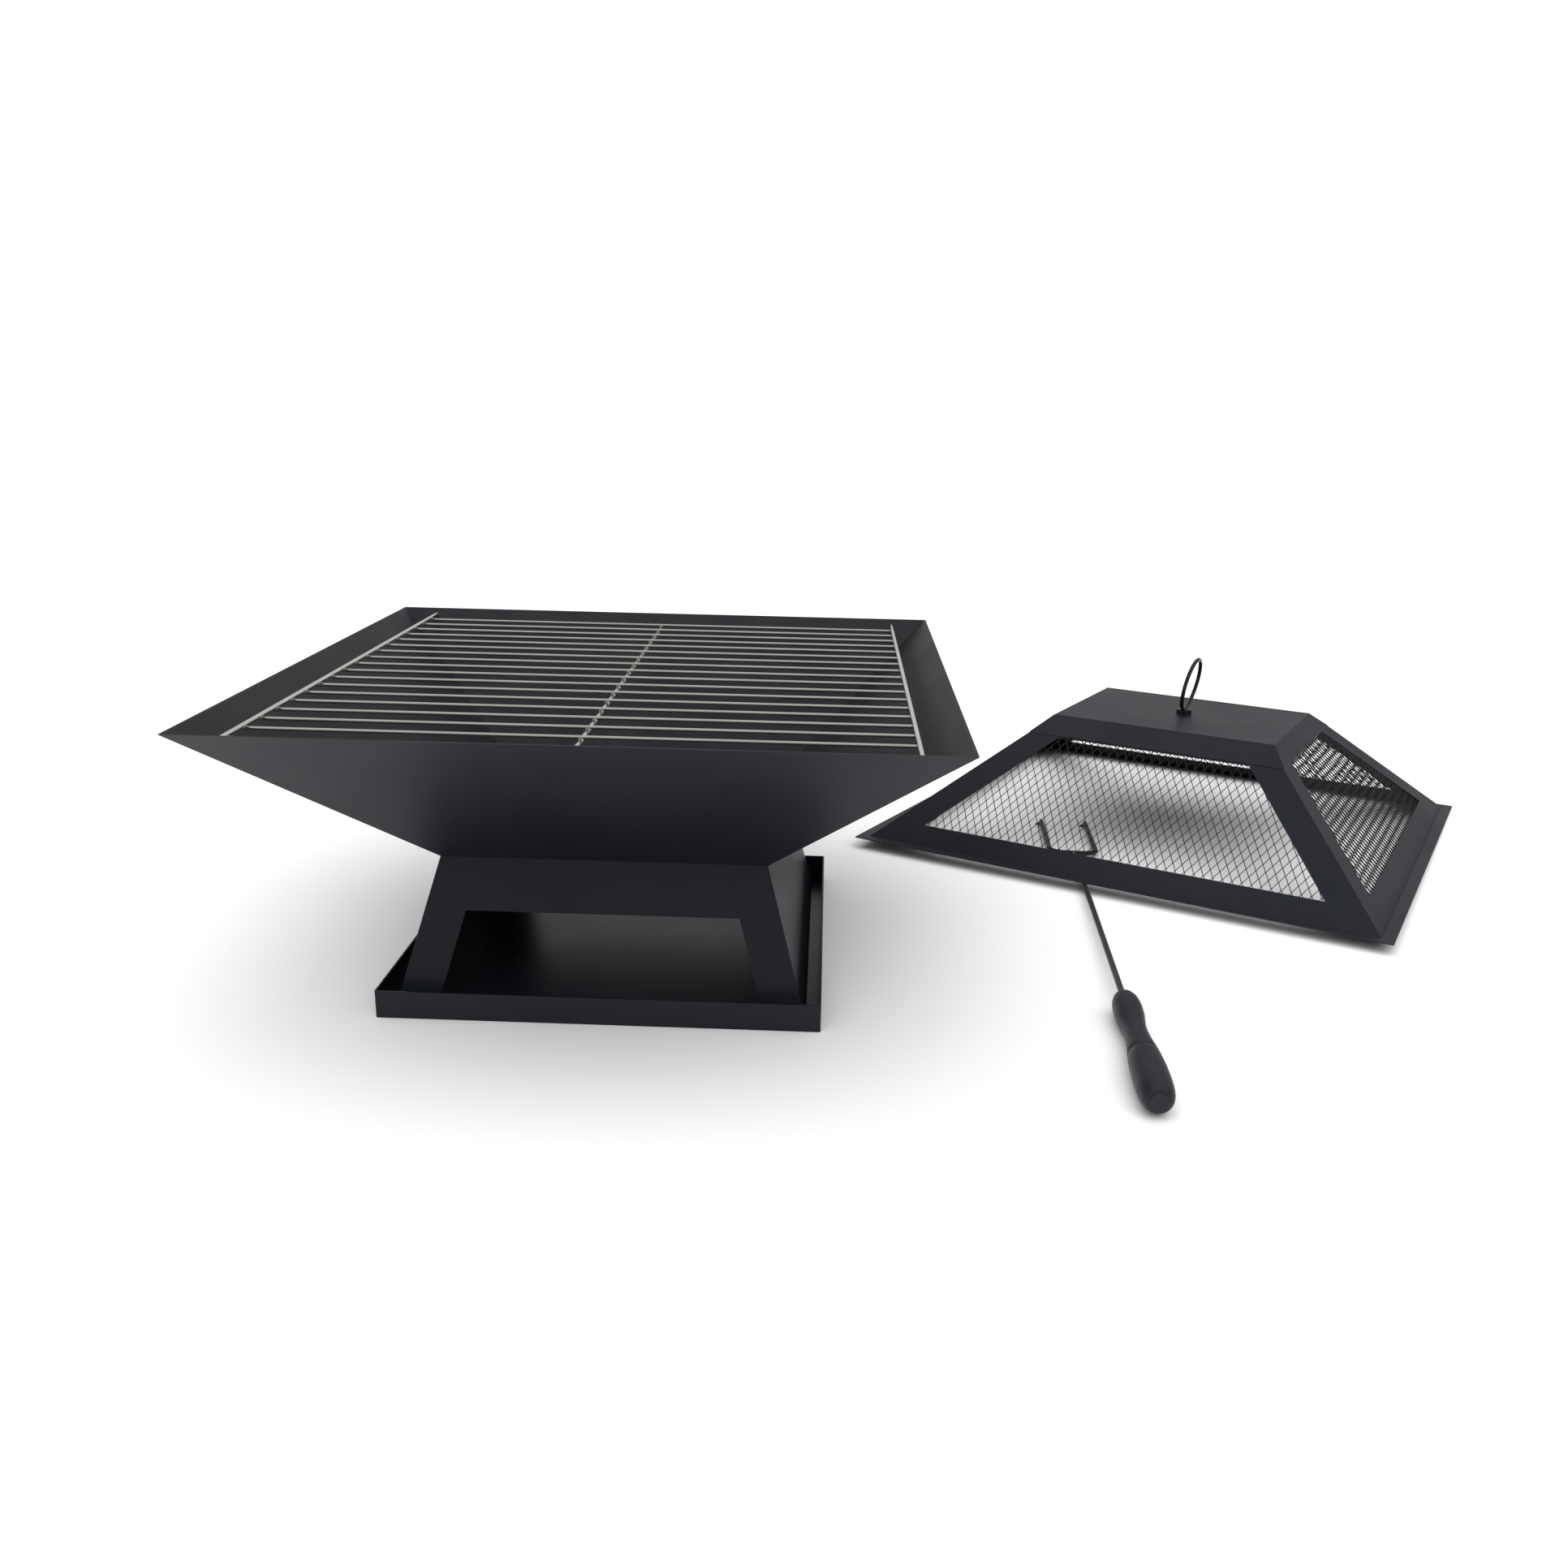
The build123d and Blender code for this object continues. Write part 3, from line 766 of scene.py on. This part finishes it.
# ------------------------------------------------------------------ the lid
@dataclass
class SparkLid:
    """Pyramid lid: four framed mesh panels, a pressed cap and a ring."""

    shop: Workshop
    nodes: dict[str, bpy.types.Object]
    sides: tuple[str, ...] = ("front", "right", "back", "left")
    diamond_width: float = 7.75 * MM
    diamond_height: float = 14.5 * MM
    strand: float = 1.0 * MM
    mesh_start: float = 0.6  # of a diamond, below the plate's foot
    edge: float = 0.3 * MM
    cap_edge: float = 0.7 * MM

    def build(self) -> None:
        """Build every piece of the lid."""
        for side in self.sides:
            self.shop.soft_copy(f"lid_frame_{side}", self.nodes, SHEET_BLACK, Body.LID, self.edge)
            self.mesh_panel(side)
        self.shop.soft_copy("lid_cap", self.nodes, SHEET_BLACK, Body.LID, self.cap_edge, 3)
        self.shop.dress_node("lid_ring", self.nodes, ROD_BLACK)
        self.shop.soft_copy("lid_ring_boss", self.nodes, ROD_BLACK, Body.LID, self.edge)
        for node in ("lid_ring_washer", "lid_ring_nut"):
            self.shop.dress_node(node, self.nodes, ZINC)

    def mesh_panel(self, side: str) -> None:
        """Weave one panel of diamond mesh inside its packed plate.

        Args:
            side: Which side of the lid.
        """
        plate = self.shop.copy_of(f"lid_mesh_{side}", self.nodes, "plate")
        face = max(
            (face for face in plate.data.polygons if face.normal.z > 0), key=lambda face: face.area
        )
        corners = [plate.data.vertices[index].co.copy() for index in face.vertices]
        normal = face.normal.copy()
        edges = [(corners[k], corners[(k + 1) % len(corners)]) for k in range(len(corners))]
        base = max(edges, key=lambda pair: (pair[1] - pair[0]).length)
        bpy.data.objects.remove(plate)
        foot = (base[0] + base[1]) / 2
        along = (base[1] - base[0]).normalized()
        up = normal.cross(along).normalized()
        height = max((corner - foot).dot(up) for corner in corners)
        half = (base[1] - base[0]).length / 2

        columns = 2 * math.ceil(half / self.diamond_width) + 2
        rows = math.ceil(height / self.diamond_height) + 2
        self.shop.clear()
        bpy.ops.mesh.primitive_grid_add(x_subdivisions=columns, y_subdivisions=rows, size=1)
        web = bpy.context.object

        def steps() -> None:
            """Size the grid, cross each cell, and cut it to the plate."""
            bpy.ops.mesh.select_all(action="SELECT")
            bpy.ops.transform.resize(
                value=(columns * self.diamond_width, rows * self.diamond_height, 1)
            )

        self.shop.edit(web, steps)
        self._cross(web)
        place = Matrix.Translation(foot + up * (rows - self.mesh_start) * self.diamond_height / 2)
        place @= Matrix((along, up, normal)).transposed().to_4x4()
        web.data.transform(place)

        def trim() -> None:
            """Cut the web along the four sides of the plate."""
            middle = sum(corners, Vector()) / len(corners)
            for start, end in edges:
                outward = (end - start).cross(normal).normalized()
                if outward.dot(middle - start) > 0:
                    outward.negate()
                bpy.ops.mesh.select_all(action="SELECT")
                bpy.ops.mesh.bisect(
                    plane_co=start - outward * self.strand / 2, plane_no=outward, clear_outer=True
                )

        self.shop.edit(web, trim)
        self.shop.modify(
            web, "WIREFRAME", thickness=self.strand, use_boundary=True, use_even_offset=False,
            use_replace=True, use_relative_offset=False, offset=-1.0,
        )
        self.shop.finish_piece(
            web, f"lid_spark_mesh_{side}", MESH_BLACK, Body.LID, [f"lid_mesh_{side}"], smooth=30
        )

    def _cross(self, web: bpy.types.Object) -> None:
        """Turn a grid of cells into a grid of diamonds.

        Args:
            web: The grid.
        """

        def steps() -> None:
            """Poke each cell and dissolve the cell's own edges."""
            bpy.ops.mesh.select_mode(type="EDGE")
            bpy.ops.mesh.select_all(action="SELECT")
            data = bpy.context.edit_object.data
            cells = {tuple(sorted(edge.vertices)) for edge in data.edges}
            bpy.ops.mesh.poke()
            bpy.ops.mesh.select_all(action="DESELECT")
            mesh = bmesh.from_edit_mesh(data)
            for edge in mesh.edges:
                key = tuple(sorted(corner.index for corner in edge.verts))
                if key in cells and not edge.is_boundary:
                    edge.select_set(True)
            bmesh.update_edit_mesh(data)
            bpy.ops.mesh.dissolve_edges(use_verts=False)

        self.shop.edit(web, steps)


# ------------------------------------------------------------------ the poker
@dataclass
class Poker:
    """Forked poker with a moulded two-part grip."""

    shop: Workshop
    nodes: dict[str, bpy.types.Object]
    facets: int = 56
    edge: float = 0.3 * MM
    cap_depth: float = 4.0
    recess: float = 3.9
    outline: tuple[tuple[float, float], ...] = (
        (-31.0, 6.2), (-30.6, 7.3), (-29.4, 8.5), (-27.2, 9.5), (-24.0, 10.25), (-19.0, 10.85),
        (-12.0, 11.2), (-4.0, 11.28), (4.0, 11.22), (12.0, 11.0), (20.0, 10.6), (26.2, 10.2),
        (26.8, 9.75), (27.6, 9.75), (28.2, 10.05), (34.0, 9.45), (42.0, 8.6), (50.0, 7.95),
        (58.0, 7.62), (64.0, 7.6), (70.0, 7.85), (78.0, 8.75), (86.0, 9.55), (94.0, 9.8),
        (101.0, 9.6), (107.0, 8.9), (111.5, 7.7), (114.0, 6.1), (115.0, 4.3), (115.0, 2.3),
    )

    def build(self) -> None:
        """Build every piece of the poker."""
        self.grip()
        self.shop.soft_copy("poker_butt_cap", self.nodes, GRIP_BLACK, Body.POKER, self.edge)
        for node in ("poker_rod", "poker_fork"):
            self.shop.dress_node(node, self.nodes, ROD_BLACK)

    def frame(self) -> Matrix:
        """Find the grip's own frame from the rod and the butt cap.

        Returns:
            Its matrix: Z along the rod towards the fork, the origin at the widest point.
        """
        def middle(node: str) -> Vector:
            """Find the middle of a node's box.

            Args:
                node: Name of the node.

            Returns:
                Its middle.
            """
            points = [corner.co for corner in self.nodes[node].data.vertices]
            low = Vector([min(point[k] for point in points) for k in range(3)])
            high = Vector([max(point[k] for point in points) for k in range(3)])
            return (low + high) / 2

        butt = middle("poker_butt_cap")
        run = (middle("poker_rod") - butt).normalized()
        across = run.cross(Vector((0, 0, 1))).normalized()
        over = run.cross(across)
        cap = [(corner.co - butt).dot(run) for corner in self.nodes["poker_butt_cap"].data.vertices]
        # the cap's inner face lies inside the butt's end by the cap's depth
        origin = butt + run * (max(cap) - (self.outline[0][0] + self.cap_depth) * MM)
        turn = Matrix((across, over, run)).transposed().to_4x4()
        return Matrix.Translation(origin) @ turn

    def grip(self) -> None:
        """Draw the grip out ring by ring, with its seam and its stepped butt."""
        self.shop.clear()
        start, radius = self.outline[0]
        bpy.ops.mesh.primitive_circle_add(
            vertices=self.facets, radius=radius * MM, location=(0, 0, 0), fill_type="NOTHING"
        )
        grip = bpy.context.object

        def steps() -> None:
            """Extrude and scale each ring in turn, then close the ends."""
            bpy.ops.mesh.select_all(action="SELECT")
            bpy.ops.transform.translate(value=(0, 0, start * MM))
            bpy.ops.mesh.select_all(action="SELECT")
            before = self.outline[0]
            for place, size in self.outline[1:]:
                bpy.ops.mesh.extrude_region_move(
                    TRANSFORM_OT_translate={"value": (0, 0, (place - before[0]) * MM)}
                )
                share = size / before[1]
                bpy.ops.transform.resize(value=(share, share, 1), center_override=(0, 0, place * MM))
                before = (place, size)
            bpy.ops.mesh.edge_face_add()
            self.shop.pick(lambda middle: middle.z < start * MM + LEVEL_SLACK, "VERT")
            bpy.ops.mesh.extrude_region_move(TRANSFORM_OT_translate={"value": (0, 0, self.recess * MM)})
            bpy.ops.mesh.edge_face_add()
            bpy.ops.mesh.select_all(action="SELECT")
            bpy.ops.mesh.normals_make_consistent(inside=False)

        self.shop.edit(grip, steps)
        grip.data.transform(self.frame())
        self.shop.finish_piece(
            grip, "poker_grip_moulded", GRIP_BLACK, Body.POKER, ["poker_grip"], smooth=40
        )


# ------------------------------------------------------------------ studio
@dataclass
class Studio:
    """Camera, floor, lamps and surroundings."""

    camera_place: tuple[float, float, float] = (0.14332, -0.95377, 0.40572)
    yaw: float = -0.0292
    pitch: float = 0.2856
    roll: float = 0.0204
    focal_share: float = 1670.46 / 1932
    sensor: float = 36.0
    floor_half: float = 40.0
    floor_drop: float = 0.2 * MM
    floor_grey: float = 0.88
    ceiling: float = 0.46
    wall: float = 0.20
    far_wall: float = 0.58
    far_wall_range: tuple[float, float] = (0.55, 0.97)
    ceiling_range: tuple[float, float] = (0.25, 0.85)
    lamp_from: tuple[float, float, float] = (0.0, -0.28, 1.0)
    lamp_spread: float = 110.0
    lamp_power: float = 3.4

    def build(self) -> None:
        """Build the studio."""
        self.camera()
        self.floor()
        self.light()

    def camera(self) -> None:
        """Place the camera."""
        sight = bpy.data.cameras.new("camera")
        sight.sensor_width = self.sensor
        sight.sensor_fit = "HORIZONTAL"
        sight.lens = self.focal_share * self.sensor
        sight.clip_start = 0.02
        sight.clip_end = 200
        holder = bpy.data.objects.new("camera", sight)
        bpy.context.scene.collection.objects.link(holder)
        forward = Vector((
            math.sin(self.yaw) * math.cos(self.pitch),
            math.cos(self.yaw) * math.cos(self.pitch),
            -math.sin(self.pitch),
        ))
        level = Vector((math.cos(self.yaw), -math.sin(self.yaw), 0))
        upright = level.cross(forward)
        right = math.cos(self.roll) * level + math.sin(self.roll) * upright
        above = -math.sin(self.roll) * level + math.cos(self.roll) * upright
        turn = Matrix((right, above, -forward)).transposed().to_4x4()
        holder.matrix_world = Matrix.Translation(Vector(self.camera_place)) @ turn
        bpy.context.scene.camera = holder

    def floor(self) -> None:
        """Lay a plain pale floor."""
        Workshop.clear()
        bpy.ops.mesh.primitive_plane_add(size=2 * self.floor_half, location=(0, 0, -self.floor_drop))
        ground = bpy.context.object
        ground.name = "studio_floor"
        bpy.ops.object.transform_apply(location=True, rotation=True, scale=True)
        paint = bpy.data.materials.new("studio_floor")
        paint.use_nodes = True
        shader = paint.node_tree.nodes["Principled BSDF"]
        shader.inputs["Base Color"].default_value = (*[self.floor_grey] * 3, 1)
        shader.inputs["Roughness"].default_value = 0.9
        shader.inputs["Specular IOR Level"].default_value = 0.1
        ground.data.materials.append(paint)

    def light(self) -> None:
        """Set a soft lamp, a dim room to reflect and a white backdrop."""
        lamp = bpy.data.lights.new("overhead_soft", "SUN")
        lamp.angle = math.radians(self.lamp_spread)
        lamp.energy = self.lamp_power
        holder = bpy.data.objects.new("overhead_soft", lamp)
        holder.visible_glossy = False
        holder.rotation_euler = Vector(self.lamp_from).to_track_quat("Z", "Y").to_euler()
        bpy.context.scene.collection.objects.link(holder)
        world = bpy.data.worlds.new("studio")
        world.use_nodes = True
        tree = world.node_tree
        room = tree.nodes["Background"]
        room.inputs["Color"].default_value = (1.0, 1.0, 1.0, 1)
        self.grade(tree, room)
        backdrop = tree.nodes.new("ShaderNodeBackground")
        backdrop.inputs["Color"].default_value = (1.0, 1.0, 1.0, 1)
        seen = tree.nodes.new("ShaderNodeLightPath")
        choose = tree.nodes.new("ShaderNodeMixShader")
        tree.links.new(seen.outputs["Is Camera Ray"], choose.inputs[0])
        tree.links.new(room.outputs["Background"], choose.inputs[1])
        tree.links.new(backdrop.outputs["Background"], choose.inputs[2])
        tree.links.new(choose.outputs["Shader"], tree.nodes["World Output"].inputs["Surface"])
        bpy.context.scene.world = world
        bpy.context.scene.view_settings.view_transform = "Standard"

    def grade(self, tree: bpy.types.NodeTree, room: bpy.types.Node) -> None:
        """Grade the room from its walls to its ceiling.

        Args:
            tree: Node tree of the world.
            room: Its background shader.
        """
        place = tree.nodes.new("ShaderNodeTexCoord")
        parts = tree.nodes.new("ShaderNodeSeparateXYZ")
        tree.links.new(place.outputs["Generated"], parts.inputs["Vector"])
        sides = tree.nodes.new("ShaderNodeMapRange")
        sides.interpolation_type = "SMOOTHSTEP"
        sides.inputs["From Min"].default_value, sides.inputs["From Max"].default_value = self.far_wall_range
        sides.inputs["To Min"].default_value = self.wall
        sides.inputs["To Max"].default_value = self.far_wall
        tree.links.new(parts.outputs["Y"], sides.inputs["Value"])
        height = tree.nodes.new("ShaderNodeMapRange")
        height.interpolation_type = "SMOOTHSTEP"
        height.inputs["From Min"].default_value, height.inputs["From Max"].default_value = self.ceiling_range
        height.inputs["To Max"].default_value = self.ceiling
        tree.links.new(sides.outputs["Result"], height.inputs["To Min"])
        tree.links.new(parts.outputs["Z"], height.inputs["Value"])
        tree.links.new(height.outputs["Result"], room.inputs["Strength"])


def main() -> None:
    """Build the looks of the fire pit, piece by piece."""
    logging.basicConfig(level=logging.INFO, format="%(name)s: %(message)s")
    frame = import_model()
    nodes = frame["nodes"]
    shop = Workshop(Effects())
    for assembly in (Pit(shop, nodes), Grate(shop, nodes), SparkLid(shop, nodes), Poker(shop, nodes)):
        log.info("building %s", type(assembly).__name__)
        assembly.build()
    Studio().build()


if __name__ == "__main__":
    main()
